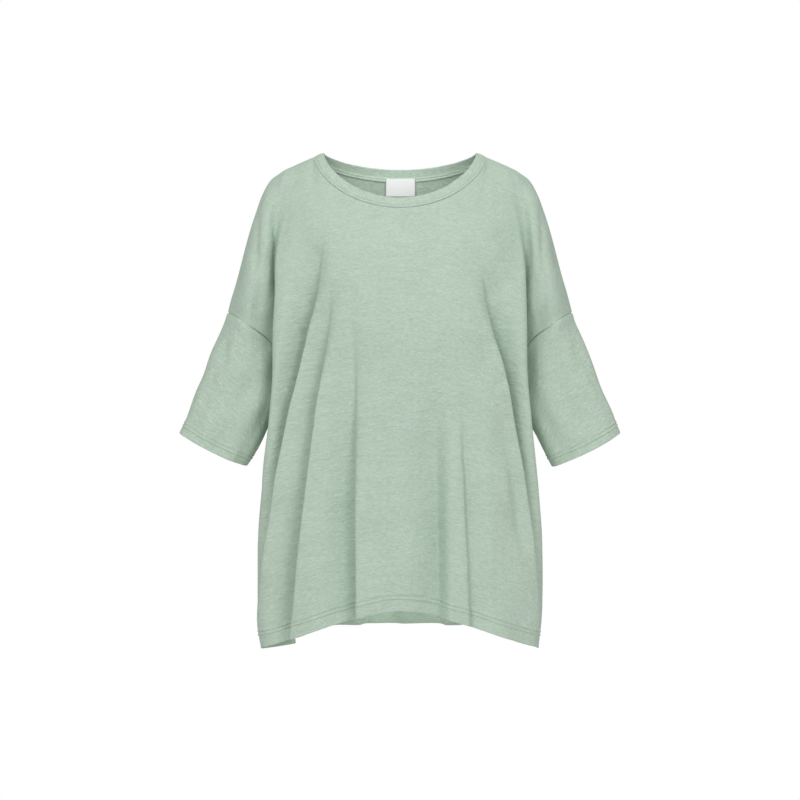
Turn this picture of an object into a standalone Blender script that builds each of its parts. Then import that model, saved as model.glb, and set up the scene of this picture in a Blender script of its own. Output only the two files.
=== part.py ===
# Knit blouse: an oversized top with dropped shoulders and short wide sleeves, standing open
# as it does when it is worn. X runs towards the garment's left sleeve, Y towards its back and
# Z up. The origin lies midway between the two shoulder seats, where the wearer holds it up.
# A drop is a height measured down from the origin. A depth is measured out from the plane
# through both arms, towards the front on the front panel and towards the back on the back panel.

import math
from collections import namedtuple

import bpy
import numpy as np

WALL = 0.0015
BAND_WALL = 0.0020
LABEL_WALL = 0.0010
SEAM_GAP = 0.0004

# Each half of a body row has five stations from the centre line: 1 and 2 on the chest, 3 the
# rounded edge beside the arm, 4 the turn behind it, 5 the armpit crease or the side seam.
# Three more follow round the arm: 6 inside it, 7 its broad face, 8 the line along its top.
NECK_STATION = 2.0
SIDE_STATION = 5.0
CHEST_STATIONS = (0.45, 0.80)
CHEST_ROUNDNESS = 3.2

NECK_HALF_WIDTH = 0.1290
NECK_SHOULDER_DROP = 0.0055
CREASE_TOP = (0.1730, 0.0255)
YOKE_DROP = 0.160
UNDERARM_DROP = 0.340
INNER_ARM_SHARE = 0.42
INNER_ARM_SWELL = 0.012
SHOULDER_REACH = 1.15
STEEPEST = 2.5
STRIP_WIDTH = 0.0024

# The two armpit creases stay this far out until just above the underarm point, where they meet.
UNDERARM_ROUND = 0.0024
ROUND_DROP = 0.0016

# Rows run from the neck and shoulders (0) by the yoke (1) and the underarm (2) to the hem (3).
YOKE_ROW = 1.0
UNDERARM_ROW = 2.0

# A neck line drops with the cosine of its turn to the power fall, and stands out with it to
# the power reach. The band's open edge has its own depth, drop and fall.
NeckHalf = namedtuple("NeckHalf", "depth drop fall reach band_depth band_drop band_fall")
FRONT_NECK = NeckHalf(0.084, 0.0895, 1.22, 0.85, 0.079, 0.0750, 1.28)
BACK_NECK = NeckHalf(0.062, 0.0360, 1.35, 0.85, 0.056, 0.0195, 1.65)
BAND_HALF_WIDTH = 0.1150
BAND_SHOULDER_DROP = 0.0
ALONG_SEAM_FROM = 0.35

Section = namedtuple("Section", "drop centre edge_x edge side_x side")
FRONT_SECTIONS = (
    Section(0.160, 0.106, 0.180, 0.052, 0.186, 0.036),
    Section(0.200, 0.114, 0.181, 0.058, 0.185, 0.030),
    Section(0.240, 0.117, 0.183, 0.061, 0.181, 0.022),
    Section(0.280, 0.117, 0.186, 0.062, 0.176, 0.012),
    Section(0.310, 0.116, 0.188, 0.063, 0.171, 0.003),
    Section(0.340, 0.115, 0.189, 0.063, 0.166, -0.006),
    Section(0.380, 0.113, 0.192, 0.062, 0.171, -0.006),
    Section(0.420, 0.111, 0.196, 0.060, 0.187, -0.006),
    Section(0.460, 0.109, 0.200, 0.056, 0.200, -0.006),
    Section(0.520, 0.108, 0.205, 0.050, 0.208, -0.006),
    Section(0.600, 0.106, 0.210, 0.046, 0.214, -0.006),
    Section(0.680, 0.105, 0.210, 0.044, 0.214, -0.006),
    Section(0.745, 0.104, 0.204, 0.040, 0.206, -0.006),
)
BACK_SECTIONS = (
    Section(0.160, 0.098, 0.180, 0.062, 0.186, 0.046),
    Section(0.200, 0.100, 0.181, 0.064, 0.185, 0.040),
    Section(0.240, 0.099, 0.183, 0.066, 0.181, 0.031),
    Section(0.280, 0.097, 0.185, 0.066, 0.176, 0.022),
    Section(0.310, 0.095, 0.187, 0.066, 0.171, 0.014),
    Section(0.340, 0.094, 0.188, 0.065, 0.166, 0.006),
    Section(0.380, 0.092, 0.191, 0.063, 0.171, 0.006),
    Section(0.420, 0.092, 0.195, 0.060, 0.187, 0.006),
    Section(0.460, 0.093, 0.199, 0.056, 0.200, 0.006),
    Section(0.520, 0.095, 0.205, 0.051, 0.208, 0.006),
    Section(0.600, 0.098, 0.211, 0.048, 0.214, 0.006),
    Section(0.680, 0.101, 0.212, 0.046, 0.214, 0.006),
    Section(0.745, 0.103, 0.206, 0.042, 0.206, 0.006),
)

# The line along the top of the shoulder and arm, and the broad faces of the arm beside it.
Arm = namedtuple("Arm", "place top_x top_drop face_x face_drop front back")
ARMS = (
    Arm(0.00, 0.2030, 0.0550, 0.1930, 0.0390, 0.000, 0.000),
    Arm(0.18, 0.2120, 0.0760, 0.2010, 0.0720, 0.036, 0.036),
    Arm(0.40, 0.2275, 0.1250, 0.2110, 0.1400, 0.050, 0.050),
    Arm(0.70, 0.2420, 0.1800, 0.2210, 0.2080, 0.054, 0.052),
    Arm(1.00, 0.2586, 0.2390, 0.2290, 0.2560, 0.053, 0.050),
)
Sleeve = namedtuple("Sleeve", "place top_x top_drop under_x under_drop front back")
SLEEVES = (
    Sleeve(0.00, 0.2586, 0.2390, 0.1660, 0.3400, 0.053, 0.050),
    Sleeve(0.25, 0.2765, 0.2860, 0.1790, 0.3730, 0.050, 0.048),
    Sleeve(0.50, 0.2955, 0.3340, 0.1945, 0.4070, 0.048, 0.046),
    Sleeve(0.75, 0.3130, 0.3780, 0.2115, 0.4380, 0.046, 0.044),
    Sleeve(1.00, 0.3290, 0.4190, 0.2295, 0.4690, 0.044, 0.042),
)
SEAM_SETTLES = 0.35
CUFF_BOW = 0.003

Hem = namedtuple("Hem", "station front back")
HEMS = (
    Hem(0.0, 0.676, 0.715),
    Hem(1.0, 0.696, 0.721),
    Hem(2.0, 0.7215, 0.730),
    Hem(3.0, 0.7355, 0.737),
    Hem(5.0, 0.741, 0.741),
)

# A fold runs down the panel, across metres from its centre line, and swings out to its low
# end. Its depth is reached at reach, and a ridge has a depth below zero.
Fold = namedtuple("Fold", "top_drop top_across low_drop low_across depth width spread")
FRONT_FOLDS = (
    Fold(0.190, -0.136, 0.745, -0.262, 0.024, 0.013, 0.016),
    Fold(0.170, 0.121, 0.745, 0.262, 0.022, 0.013, 0.016),
    Fold(0.220, -0.119, 0.745, -0.182, 0.009, 0.011, 0.014),
    Fold(0.190, -0.103, 0.745, -0.162, -0.009, 0.011, 0.014),
    Fold(0.290, -0.073, 0.745, -0.079, 0.013, 0.010, 0.012),
    Fold(0.250, -0.057, 0.745, -0.066, -0.007, 0.010, 0.012),
    Fold(0.400, 0.045, 0.745, 0.060, 0.008, 0.010, 0.015),
    Fold(0.190, 0.083, 0.745, 0.104, -0.005, 0.010, 0.014),
    Fold(0.300, 0.092, 0.745, 0.122, 0.008, 0.009, 0.013),
)
BACK_FOLDS = (
    Fold(0.200, -0.128, 0.745, -0.250, 0.020, 0.012, 0.016),
    Fold(0.180, 0.132, 0.745, 0.246, 0.021, 0.012, 0.016),
    Fold(0.230, -0.090, 0.745, -0.150, 0.009, 0.012, 0.017),
    Fold(0.260, -0.040, 0.745, -0.066, 0.010, 0.011, 0.016),
    Fold(0.220, 0.006, 0.745, 0.010, 0.007, 0.012, 0.018),
    Fold(0.280, 0.052, 0.745, 0.078, 0.010, 0.011, 0.016),
    Fold(0.240, 0.096, 0.745, 0.160, 0.008, 0.012, 0.017),
)
FOLD_START = 0.45
FOLD_CLEAR = 0.020

Panel = namedtuple("Panel", "name outward sections neck folds column")
FRONT = Panel("front_panel", -1.0, FRONT_SECTIONS, FRONT_NECK, FRONT_FOLDS, "front")
BACK = Panel("back_panel", 1.0, BACK_SECTIONS, BACK_NECK, BACK_FOLDS, "back")
OTHER = {FRONT.name: BACK, BACK.name: FRONT}

# The label lies inside the back neck, over the seam of the band: it starts at a share of the
# band's height above the seam and ends at a row of the panel below it.
LABEL_X = (-0.0219, 0.0237)
LABEL_ON_BAND = 0.27
LABEL_END_ROW = 0.165
LABEL_COLUMNS = 6
LABEL_ROWS = 4

SAGE = (0.470, 0.585, 0.485, 1.0)
LABEL_WHITE = (0.86, 0.87, 0.86, 1.0)
CLOTH_ROUGHNESS = 0.9


def read(table, column, at, level_start=False):
    """A named column of a table at any value of its first column, smooth through its rows."""
    places = np.array([row[0] for row in table])
    values = np.array([getattr(row, column) for row in table])
    steps = np.diff(places)
    rises = np.diff(values) / steps
    slopes = np.empty(len(values))
    same_way = rises[:-1] * rises[1:] > 0
    slopes[1:-1] = np.where(same_way, (rises[:-1] + rises[1:]) / 2, 0.0)
    least = np.minimum(np.abs(rises[:-1]), np.abs(rises[1:]))
    slopes[1:-1] = np.clip(slopes[1:-1], -STEEPEST * least, STEEPEST * least)
    slopes[0] = 0.0 if level_start else rises[0]
    slopes[-1] = rises[-1]
    at = np.clip(np.asarray(at, float), places[0], places[-1])
    index = np.clip(np.searchsorted(places, at, side="right") - 1, 0, len(steps) - 1)
    share = (at - places[index]) / steps[index]
    return ease(values[index], slopes[index], values[index + 1], slopes[index + 1], share, steps[index])


def ease(start, start_slope, end, end_slope, share, length=1.0):
    """A cubic from start to end with given slopes, at a share of its length."""
    square = share * share
    cube = square * share
    from_start = (2 * cube - 3 * square + 1) * start + (cube - 2 * square + share) * length * start_slope
    return from_start + (3 * square - 2 * cube) * end + (cube - square) * length * end_slope


def through(controls, stations):
    """A smooth curve through control points. The first and last only lend it their direction."""
    controls = np.asarray(controls, float)
    gaps = np.maximum(np.linalg.norm(np.diff(controls, axis=0), axis=-1, keepdims=True), 1e-6)
    rises = np.diff(controls, axis=0) / gaps
    slopes = (rises[:-1] * gaps[1:] + rises[1:] * gaps[:-1]) / (gaps[1:] + gaps[:-1])
    inner = controls[1:-1]
    stations = np.asarray(stations, float)
    index = np.clip(np.floor(stations).astype(int), 0, len(inner) - 2)
    share = (stations - index)[:, None]
    pick = np.arange(len(stations))
    return ease(
        inner[index, pick], slopes[index, pick], inner[index + 1, pick], slopes[index + 1, pick],
        share, gaps[index + 1, pick],
    )


def smooth(share):
    share = np.clip(share, 0.0, 1.0)
    return share * share * (3 - 2 * share)


def section_controls(panel, drop):
    """Control points 0 to 5 of a level section, in the plane, for an array of drops."""
    centre, edge_x, edge, side_x, side = (
        read(panel.sections, column, drop) for column in Section._fields[1:]
    )
    side = side + UNDERARM_ROUND * smooth((UNDERARM_DROP - drop) / ROUND_DROP)
    points = [(0 * centre, centre)]
    for share in CHEST_STATIONS:
        points.append((share * edge_x, edge + (centre - edge) * (1 - share**CHEST_ROUNDNESS)))
    points += [(edge_x, edge), ((edge_x + side_x) / 2, (edge + side) / 2), (side_x, side)]
    return [np.stack([x, panel.outward * depth, -drop], axis=-1) for x, depth in points]


def arm_place(crease_drop):
    return (crease_drop - CREASE_TOP[1]) / (UNDERARM_DROP - CREASE_TOP[1])


def arm_controls(panel, crease):
    """Control points 6 to 8, round the arm from a point of the crease."""
    place = arm_place(-crease[:, 2])
    face = np.stack([
        read(ARMS, "face_x", place),
        panel.outward * read(ARMS, panel.column, place),
        -read(ARMS, "face_drop", place),
    ], axis=-1)
    inside = crease + (face - crease) * INNER_ARM_SHARE
    inside[:, 1] += panel.outward * INNER_ARM_SWELL * smooth(place * 2)
    top = np.stack([read(ARMS, "top_x", place), 0 * place, -read(ARMS, "top_drop", place)], axis=-1)
    return [inside, face, top]


def level_points(panel, drop, station):
    """Points of level sections from the yoke down, for arrays of drops and stations 0 to 5."""
    controls = section_controls(panel, drop)
    before = controls[1] * (-1, 1, 1)
    below = section_controls(OTHER[panel.name], drop)[4]
    above = arm_controls(panel, controls[5])[0]
    after = np.where((drop < UNDERARM_DROP)[:, None], above, below)
    return through([before, *controls, after], station)


def neck_line(panel, share, at_edge=False):
    """Half of the neck seam, or of the band's open edge: share 0 is at the centre, 1 at the shoulder."""
    neck = panel.neck
    cosine = np.clip(np.cos(share * math.pi / 2), 0.0, 1.0)
    sine = np.sin(share * math.pi / 2)
    if at_edge:
        half_width, high, depth, low, fall = (
            BAND_HALF_WIDTH, BAND_SHOULDER_DROP, neck.band_depth, neck.band_drop, neck.band_fall
        )
    else:
        half_width, high, depth, low, fall = (
            NECK_HALF_WIDTH, NECK_SHOULDER_DROP, neck.depth, neck.drop, neck.fall
        )
    drop = high + (low - high) * cosine**fall
    return np.stack([half_width * sine, panel.outward * depth * cosine**neck.reach, -drop], axis=-1)


def top_points(panel, station):
    """Row 0 of a panel: its neck seam, then the shoulder to the top of the crease."""
    points = neck_line(panel, np.clip(station / NECK_STATION, 0.0, 1.0))
    along = np.clip((station - NECK_STATION) / (SIDE_STATION - NECK_STATION), 0.0, 1.0)
    points[:, 0] += (CREASE_TOP[0] - NECK_HALF_WIDTH) * along
    points[:, 2] -= (CREASE_TOP[1] - NECK_SHOULDER_DROP) * along
    return points


def unit(vectors):
    return vectors / np.maximum(np.linalg.norm(vectors, axis=-1, keepdims=True), 1e-12)


def top_directions(panel, station):
    """Which way the cloth leaves row 0: in line with the band, or straight over the shoulder."""
    share = np.clip(station / NECK_STATION, 0.0, 1.0)
    from_band = unit(neck_line(panel, share) - neck_line(panel, share, at_edge=True))
    step = 0.01
    inner = np.clip(share, step, 1.0 - step)
    along_seam = unit(neck_line(panel, inner - step) - neck_line(panel, inner + step))
    turned = smooth((share - ALONG_SEAM_FROM) / (1 - ALONG_SEAM_FROM))[:, None]
    over_shoulder = np.array((0.0, panel.outward, 0.0))
    on_shoulder = (station >= NECK_STATION)[:, None]
    return np.where(on_shoulder, over_shoulder, unit(from_band * (1 - turned) + along_seam * turned))


def yoke_points(panel, row, station):
    """Points between the top row and the yoke, rounding over the shoulder."""
    top = top_points(panel, station)
    full = np.full(len(station), YOKE_DROP)
    bottom = level_points(panel, full, station)
    step = 0.002
    lower = level_points(panel, full + step, station)
    length = np.linalg.norm(bottom - top, axis=-1)[:, None]
    start = top_directions(panel, station)
    return ease(top, start, bottom, unit(lower - bottom), row[:, None], length * SHOULDER_REACH)


def hem_drop(panel, station):
    return read(HEMS, panel.column, station, level_start=True)


def body_points(panel, row, station):
    """Points of one half of a panel, before its folds, for arrays of rows and stations."""
    lower_share = np.clip(row - UNDERARM_ROW, 0.0, 1.0)
    upper_share = np.clip(row - YOKE_ROW, 0.0, 1.0)
    drop = YOKE_DROP + (UNDERARM_DROP - YOKE_DROP) * upper_share
    drop = drop + (hem_drop(panel, station) - UNDERARM_DROP) * lower_share
    points = level_points(panel, drop, station)
    in_yoke = row < YOKE_ROW
    points[in_yoke] = yoke_points(panel, row[in_yoke], station[in_yoke])
    return points


def arm_points(panel, row, station):
    """Points of a panel round the arm, for arrays of rows 0 to 2 and stations 5 to 8."""
    crease = body_points(panel, row, np.full(len(row), SIDE_STATION))
    before = body_points(panel, row, np.full(len(row), SIDE_STATION - 1))
    controls = [crease, *arm_controls(panel, crease)]
    after = controls[2] * (1, -1, 1)
    return through([before, *controls, after], station - SIDE_STATION)


def fold_shape(fold, across, drop):
    """How far a fold presses in, at distances across and drops."""
    share = (drop - fold.top_drop) / (fold.low_drop - fold.top_drop)
    middle = fold.top_across + (fold.low_across - fold.top_across) * np.clip(share, 0, 1)
    width = fold.width + (fold.spread - fold.width) * np.clip(share, 0, 1)
    strength = smooth(share / FOLD_START) * (0.55 + 0.45 * smooth(share))
    return fold.depth * strength * np.exp(-(((across - middle) / width) ** 2))


def grid_normals(points):
    """Unit normals of a grid of points, by its rows and columns."""
    return unit(np.cross(np.gradient(points, axis=1), np.gradient(points, axis=0)))


def folded(panel, points):
    """The body grid of a panel with its folds pressed in."""
    steps = np.linalg.norm(np.diff(points, axis=1), axis=-1)
    across = np.concatenate([np.zeros((len(points), 1)), np.cumsum(steps, axis=1)], axis=1)
    across -= across[:, [points.shape[1] // 2]]
    press = sum(fold_shape(fold, across, -points[:, :, 2]) for fold in panel.folds)
    to_side = np.minimum(across - across[:, :1], across[:, -1:] - across)
    press = press * smooth(to_side / FOLD_CLEAR)
    return points - grid_normals(points) * panel.outward * press[:, :, None]


def stations_between(*spans):
    """Stations over (start, end, count) spans, each end met once."""
    found = []
    for start, end, count in spans:
        found += [start + (end - start) * i / count for i in range(count)]
    return np.array(found + [spans[-1][1]])


STRIP = 0.03
THIN_REACH = 0.006
THINNEST = 0.40
NECK_COLUMNS = 12
BODY_HALF = stations_between((0, 2, NECK_COLUMNS), (2, 3, 4), (3, 4, 4), (4, 5 - STRIP, 3), (5 - STRIP, 5, 1))
ARM_HALF = stations_between((5, 8 - STRIP, 8), (8 - STRIP, 8, 1))
UPPER_ROWS = stations_between((0, 0.015, 1), (0.015, 1, 6), (1, 2 - 0.01, 6), (2 - 0.01, 2, 1))
LOWER_ROWS = stations_between((2, 2.004, 1), (2.004, 3, 10))


def grid(make, panel, rows, stations):
    row, station = np.meshgrid(rows, stations, indexing="ij")
    points = make(panel, row.ravel(), station.ravel())
    return points.reshape(len(rows), len(stations), 3)


def pull_in(points, neighbours):
    """Moves points half a seam gap towards their neighbours."""
    away = neighbours - points
    return points + away * (SEAM_GAP / 2) / np.linalg.norm(away, axis=-1, keepdims=True)


def panel_grids(panel):
    """The body grid of a panel and its two arm grids, in rows from the neck down."""
    rows = np.concatenate([UPPER_ROWS, LOWER_ROWS[1:]])
    half = grid(body_points, panel, rows, BODY_HALF)
    body = np.concatenate([half[:, :0:-1] * (-1, 1, 1), half], axis=1)
    body = folded(panel, body)
    arm = grid(arm_points, panel, UPPER_ROWS, ARM_HALF)
    return body, arm


def panel_mesh(panel):
    body, arm = panel_grids(panel)
    arm[:, -2] = arm[:, -1] + unit(arm[:, -2] - arm[:, -1]) * STRIP_WIDTH
    arm[1, 1:-2] = arm[0, 1:-2] + (0, panel.outward * STRIP_WIDTH, 0)
    arm[1, -2] = arm[0, -1] + (0, panel.outward * STRIP_WIDTH, 0)
    arm_rows, arm_columns = arm.shape[:2]
    last = arm_rows - 1
    body[0] = pull_in(body[0], body[1])
    body[last:, 0] = pull_in(body[last:, 0], body[last:, 1])
    body[last:, -1] = pull_in(body[last:, -1], body[last:, -2])
    arm[:, -1] = pull_in(arm[:, -1], arm[:, -2])
    arm[0, 1:] = pull_in(arm[0, 1:], arm[1, 1:])
    arm[last, 1:] = pull_in(arm[last, 1:], arm[last - 1, 1:])
    rows, columns = body.shape[:2]
    points = list(body.reshape(-1, 3))
    index = np.arange(rows * columns).reshape(rows, columns)
    faces = []

    def add_faces(of, flipped):
        for i in range(of.shape[0] - 1):
            for j in range(of.shape[1] - 1):
                face = (of[i, j], of[i + 1, j], of[i + 1, j + 1], of[i, j + 1])
                faces.append(face[::-1] if flipped else face)

    facing_back = panel.outward > 0
    add_faces(index, facing_back)
    for mirrored in (False, True):
        first = len(points)
        side = arm[:, 1:] * ((-1, 1, 1) if mirrored else (1, 1, 1))
        points += list(side.reshape(-1, 3))
        outer = first + np.arange(side.shape[0] * side.shape[1]).reshape(side.shape[:2])
        shared = index[:arm_rows, 0 if mirrored else -1][:, None]
        add_faces(np.concatenate([shared, outer], axis=1), facing_back != mirrored)
    return points, faces


def sleeve_tube(place, turn):
    """Points of the plain sleeve tube: turn 0 is under the arm, 3 along its top, 6 under again."""
    top = np.stack([read(SLEEVES, "top_x", place), 0 * place, -read(SLEEVES, "top_drop", place)], axis=-1)
    under = np.stack([
        read(SLEEVES, "under_x", place),
        0 * place + FRONT_SECTIONS[5].side * FRONT.outward,
        -read(SLEEVES, "under_drop", place),
    ], axis=-1)
    angle = turn * math.pi / 3
    depth = np.where(turn < 3, -read(SLEEVES, "front", place), read(SLEEVES, "back", place))
    points = (top + under) / 2 - (top - under) / 2 * np.cos(angle)[:, None]
    points[:, 1] += depth * np.abs(np.sin(angle))
    points[:, 2] -= CUFF_BOW * place * np.sin(angle) ** 2
    return points


def armhole(turns, before=0.0):
    """The armhole seam round the arm, front then back, at turns 0 to 6, or a row before it."""
    row = np.full(len(turns), UNDERARM_ROW - before)
    front = arm_points(FRONT, row, SIDE_STATION + np.clip(turns, 0, 3))
    back = arm_points(BACK, row, SIDE_STATION + np.clip(6 - turns, 0, 3))
    return np.where((turns <= 3)[:, None], front, back)


def sleeve_points(places, turns):
    """The sleeve leaves the armhole seam in line with the panels and settles into its tube."""
    place, turn = (values.ravel() for values in np.meshgrid(places, turns, indexing="ij"))
    start = 0 * place
    step = 0.01
    seam = armhole(turn)
    plain = sleeve_tube(start, turn)
    plain_step = (sleeve_tube(start + step, turn) - plain) / step
    seam_step = unit(seam - armhole(turn, before=step)) * np.linalg.norm(plain_step, axis=-1)[:, None]
    share = np.clip(place / SEAM_SETTLES, 0.0, 1.0)[:, None]
    points = sleeve_tube(place, turn)
    points = points + (seam - plain) * (1 - smooth(share))
    points = points + (seam_step - plain_step) * place[:, None] * (1 - share) ** 2
    return points.reshape(len(places), len(turns), 3)


SLEEVE_PLACES = stations_between((0, 0.008, 1), (0.008, 1, 9))
SLEEVE_TURNS = np.concatenate([ARM_HALF - SIDE_STATION, 6 - (ARM_HALF - SIDE_STATION)[-2:0:-1]])


def sleeve_mesh(mirrored):
    points = sleeve_points(SLEEVE_PLACES, SLEEVE_TURNS)
    points[0] = pull_in(points[0], points[1])
    rows, columns = points.shape[:2]
    faces = []
    for i in range(rows - 1):
        for j in range(columns):
            after = (j + 1) % columns
            face = (i * columns + j, (i + 1) * columns + j, (i + 1) * columns + after, i * columns + after)
            faces.append(face if not mirrored else face[::-1])
    points = points.reshape(-1, 3) * ((-1, 1, 1) if mirrored else (1, 1, 1))
    return list(points), faces


def band_points(shares, turns):
    """The neckband: share 0 on its seam, 1 at its open edge; turns run 0 to 4 round the neck."""
    share, turn = (values.ravel() for values in np.meshgrid(shares, turns, indexing="ij"))
    points = np.zeros((len(share), 3))
    for panel, centre in ((FRONT, 0), (BACK, 2), (FRONT, 4)):
        here = np.abs(turn - centre) <= 1
        from_centre = np.abs(turn[here] - centre)
        seam = neck_line(panel, from_centre)
        edge = neck_line(panel, from_centre, at_edge=True)
        side = np.where(np.sin(turn[here] * math.pi / 2) < 0, -1.0, 1.0)
        points[here] = seam + (edge - seam) * share[here][:, None]
        points[here, 0] *= side
    return points.reshape(len(shares), len(turns), 3)


BAND_SHARES = stations_between((0, 0.08, 1), (0.08, 1, 3))
BAND_TURNS = stations_between((0, 4, 4 * NECK_COLUMNS))[:-1]


def band_mesh():
    points = band_points(BAND_SHARES, BAND_TURNS)
    points[0] = pull_in(points[0], points[1])
    rows, columns = points.shape[:2]
    faces = []
    for i in range(rows - 1):
        for j in range(columns):
            after = (j + 1) % columns
            faces.append((i * columns + j, i * columns + after, (i + 1) * columns + after, (i + 1) * columns + j))
    return list(points.reshape(-1, 3)), faces


def back_line(row, x):
    """Points of the back panel along a row, at distances x from its centre line."""
    near = np.linspace(0.0, 1.0, 41)
    level = body_points(BACK, np.full(len(near), row), near)
    station = np.interp(np.abs(x), level[:, 0], near)
    line = body_points(BACK, np.full(len(x), row), station)
    line[:, 0] *= np.sign(x)
    return line


def label_mesh():
    """The label, made from the points of the band and the back moved in past the band's wall."""
    x = np.linspace(LABEL_X[0], LABEL_X[1], LABEL_COLUMNS + 1)
    turned = np.arcsin(x / NECK_HALF_WIDTH) * 2 / math.pi
    on_band = band_points(np.array([LABEL_ON_BAND, LABEL_ON_BAND / 2]), 2 - turned)
    on_back = [back_line(row, x) for row in np.linspace(0.0, LABEL_END_ROW, LABEL_ROWS)]
    points = np.concatenate([on_band, on_back])
    points = points - grid_normals(points) * BACK.outward * (BAND_WALL + SEAM_GAP)
    rows, columns = points.shape[:2]
    faces = []
    for i in range(rows - 1):
        for j in range(columns - 1):
            first = i * columns + j
            faces.append((first, first + 1, first + columns + 1, first + columns))
    return list(points.reshape(-1, 3)), faces


def fabric(name, color, roughness):
    made = bpy.data.materials.new(name)
    made.use_nodes = True
    shader = made.node_tree.nodes["Principled BSDF"]
    shader.inputs["Base Color"].default_value = color
    shader.inputs["Roughness"].default_value = roughness
    shader.inputs["Metallic"].default_value = 0.0
    return made


def thinned(points):
    """The share of the wall at each point: it thins to a feather edge at the underarm points."""
    underarm = np.array((SLEEVES[0].under_x, FRONT.outward * FRONT_SECTIONS[5].side, -UNDERARM_DROP))
    away = np.linalg.norm(np.abs(points) * (1, 1, -1) - underarm, axis=-1)
    return THINNEST + (1 - THINNEST) * smooth(away / THIN_REACH)


def add_cloth(collection, name, mesh_parts, wall, color):
    """An open cloth surface, walled inwards from its outer face."""
    points, faces = mesh_parts
    mesh = bpy.data.meshes.new(name)
    mesh.from_pydata([tuple(point) for point in points], [], [tuple(map(int, face)) for face in faces])
    mesh.shade_smooth()
    mesh.materials.append(fabric(name + "_cloth", color, CLOTH_ROUGHNESS))
    cloth = bpy.data.objects.new(name, mesh)
    collection.objects.link(cloth)
    solidify = cloth.modifiers.new("Wall", "SOLIDIFY")
    solidify.thickness = wall
    solidify.offset = -1.0
    solidify.use_quality_normals = True
    thickness = cloth.vertex_groups.new(name="wall")
    for index, share in enumerate(thinned(np.array(points))):
        thickness.add([index], float(share), "REPLACE")
    solidify.vertex_group = thickness.name
    return cloth


def main():
    for found in list(bpy.data.objects):
        bpy.data.objects.remove(found, do_unlink=True)
    blouse = bpy.data.collections.new("knit_blouse")
    bpy.context.scene.collection.children.link(blouse)
    for panel in (FRONT, BACK):
        add_cloth(blouse, panel.name, panel_mesh(panel), WALL, SAGE)
    add_cloth(blouse, "sleeve_left", sleeve_mesh(False), WALL, SAGE)
    add_cloth(blouse, "sleeve_right", sleeve_mesh(True), WALL, SAGE)
    add_cloth(blouse, "neckband", band_mesh(), BAND_WALL, SAGE)
    add_cloth(blouse, "neck_label", label_mesh(), LABEL_WALL, LABEL_WHITE)


main()
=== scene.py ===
import math
from collections import namedtuple

import bpy
import numpy as np
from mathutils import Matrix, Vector


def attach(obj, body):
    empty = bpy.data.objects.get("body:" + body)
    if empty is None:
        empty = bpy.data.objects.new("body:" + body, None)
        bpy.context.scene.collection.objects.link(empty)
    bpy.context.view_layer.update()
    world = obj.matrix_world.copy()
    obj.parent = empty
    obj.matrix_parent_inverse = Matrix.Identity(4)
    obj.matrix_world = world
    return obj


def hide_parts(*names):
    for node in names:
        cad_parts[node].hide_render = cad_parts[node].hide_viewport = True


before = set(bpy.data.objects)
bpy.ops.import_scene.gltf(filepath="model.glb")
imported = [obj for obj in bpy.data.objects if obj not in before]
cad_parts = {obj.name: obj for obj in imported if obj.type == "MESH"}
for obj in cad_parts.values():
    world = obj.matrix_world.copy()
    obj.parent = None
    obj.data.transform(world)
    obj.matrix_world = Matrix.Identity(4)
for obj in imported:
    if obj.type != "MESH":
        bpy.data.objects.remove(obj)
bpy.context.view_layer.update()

# Knit blouse, filled out as it is worn. X runs to its left sleeve, Y to its back, Z up.
# A drop is measured down from the origin between the shoulder seats, a depth out from the
# plane through both arms. Sizes are metres.


def table(columns, *rows):
    row = namedtuple("Row", columns)
    return [row(*values) for values in rows]


# What every piece of the cloth shares
cloth = {
    "thickness": 0.0009,
    # how far a seam sinks into the cloth, and half the gap between its two pieces
    "neckSeam": (0.0010, 0.00011),
    "sideSeam": (0.0025, 0.00030),
    "armSeam": (0.0026, 0.00042),
    # rows that lie close beside a seam, and how far from it the cloth sinks
    "seamStrips": (0.0, 0.0006, 0.0014, 0.0027),
    "seamReach": 0.0027,
    "neckHalfWidth": 0.129,
    "neckShoulderDrop": 0.0055,
    "neckReach": 0.85,
    # the crease between body and arm, which is rounded off at its upper end
    "creaseTopX": 0.173,
    "creaseTopDrop": 0.0255,
    "creaseFrom": 0.030,
    "creaseSettles": 0.060,
    "creaseColumns": 7,
    "creasePasses": 40,
    "yokeDrop": 0.160,
    "underarmDrop": 0.340,
    "hemDepth": 0.024,
    "chestStations": (0.45, 0.80),
    "chestRoundness": 3.2,
    "innerArmShare": 0.42,
    "innerArmSwell": 0.012,
    "innerArmRaise": 0.021,
    "shoulderReach": 1.15,
    "alongSeamFrom": 0.35,
    # slow unevenness of the cloth, and how much stronger it is on the arms
    "puffHeight": 0.0011,
    "puffWaves": 14,
    "puffLengths": (0.035, 0.11),
    "armPuff": 1.2,
}

# Stations 0 to 2 are the neck, 5 is the armpit crease and side seam, 8 the top of the arm
neckStation, sideStation, topStation = 2.0, 5.0, 8.0

foldColumns = "topDrop topAcross lowDrop lowAcross full ridge depth flank steep lean"
lineColumns = "startA startB endA endB depth width"

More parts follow.
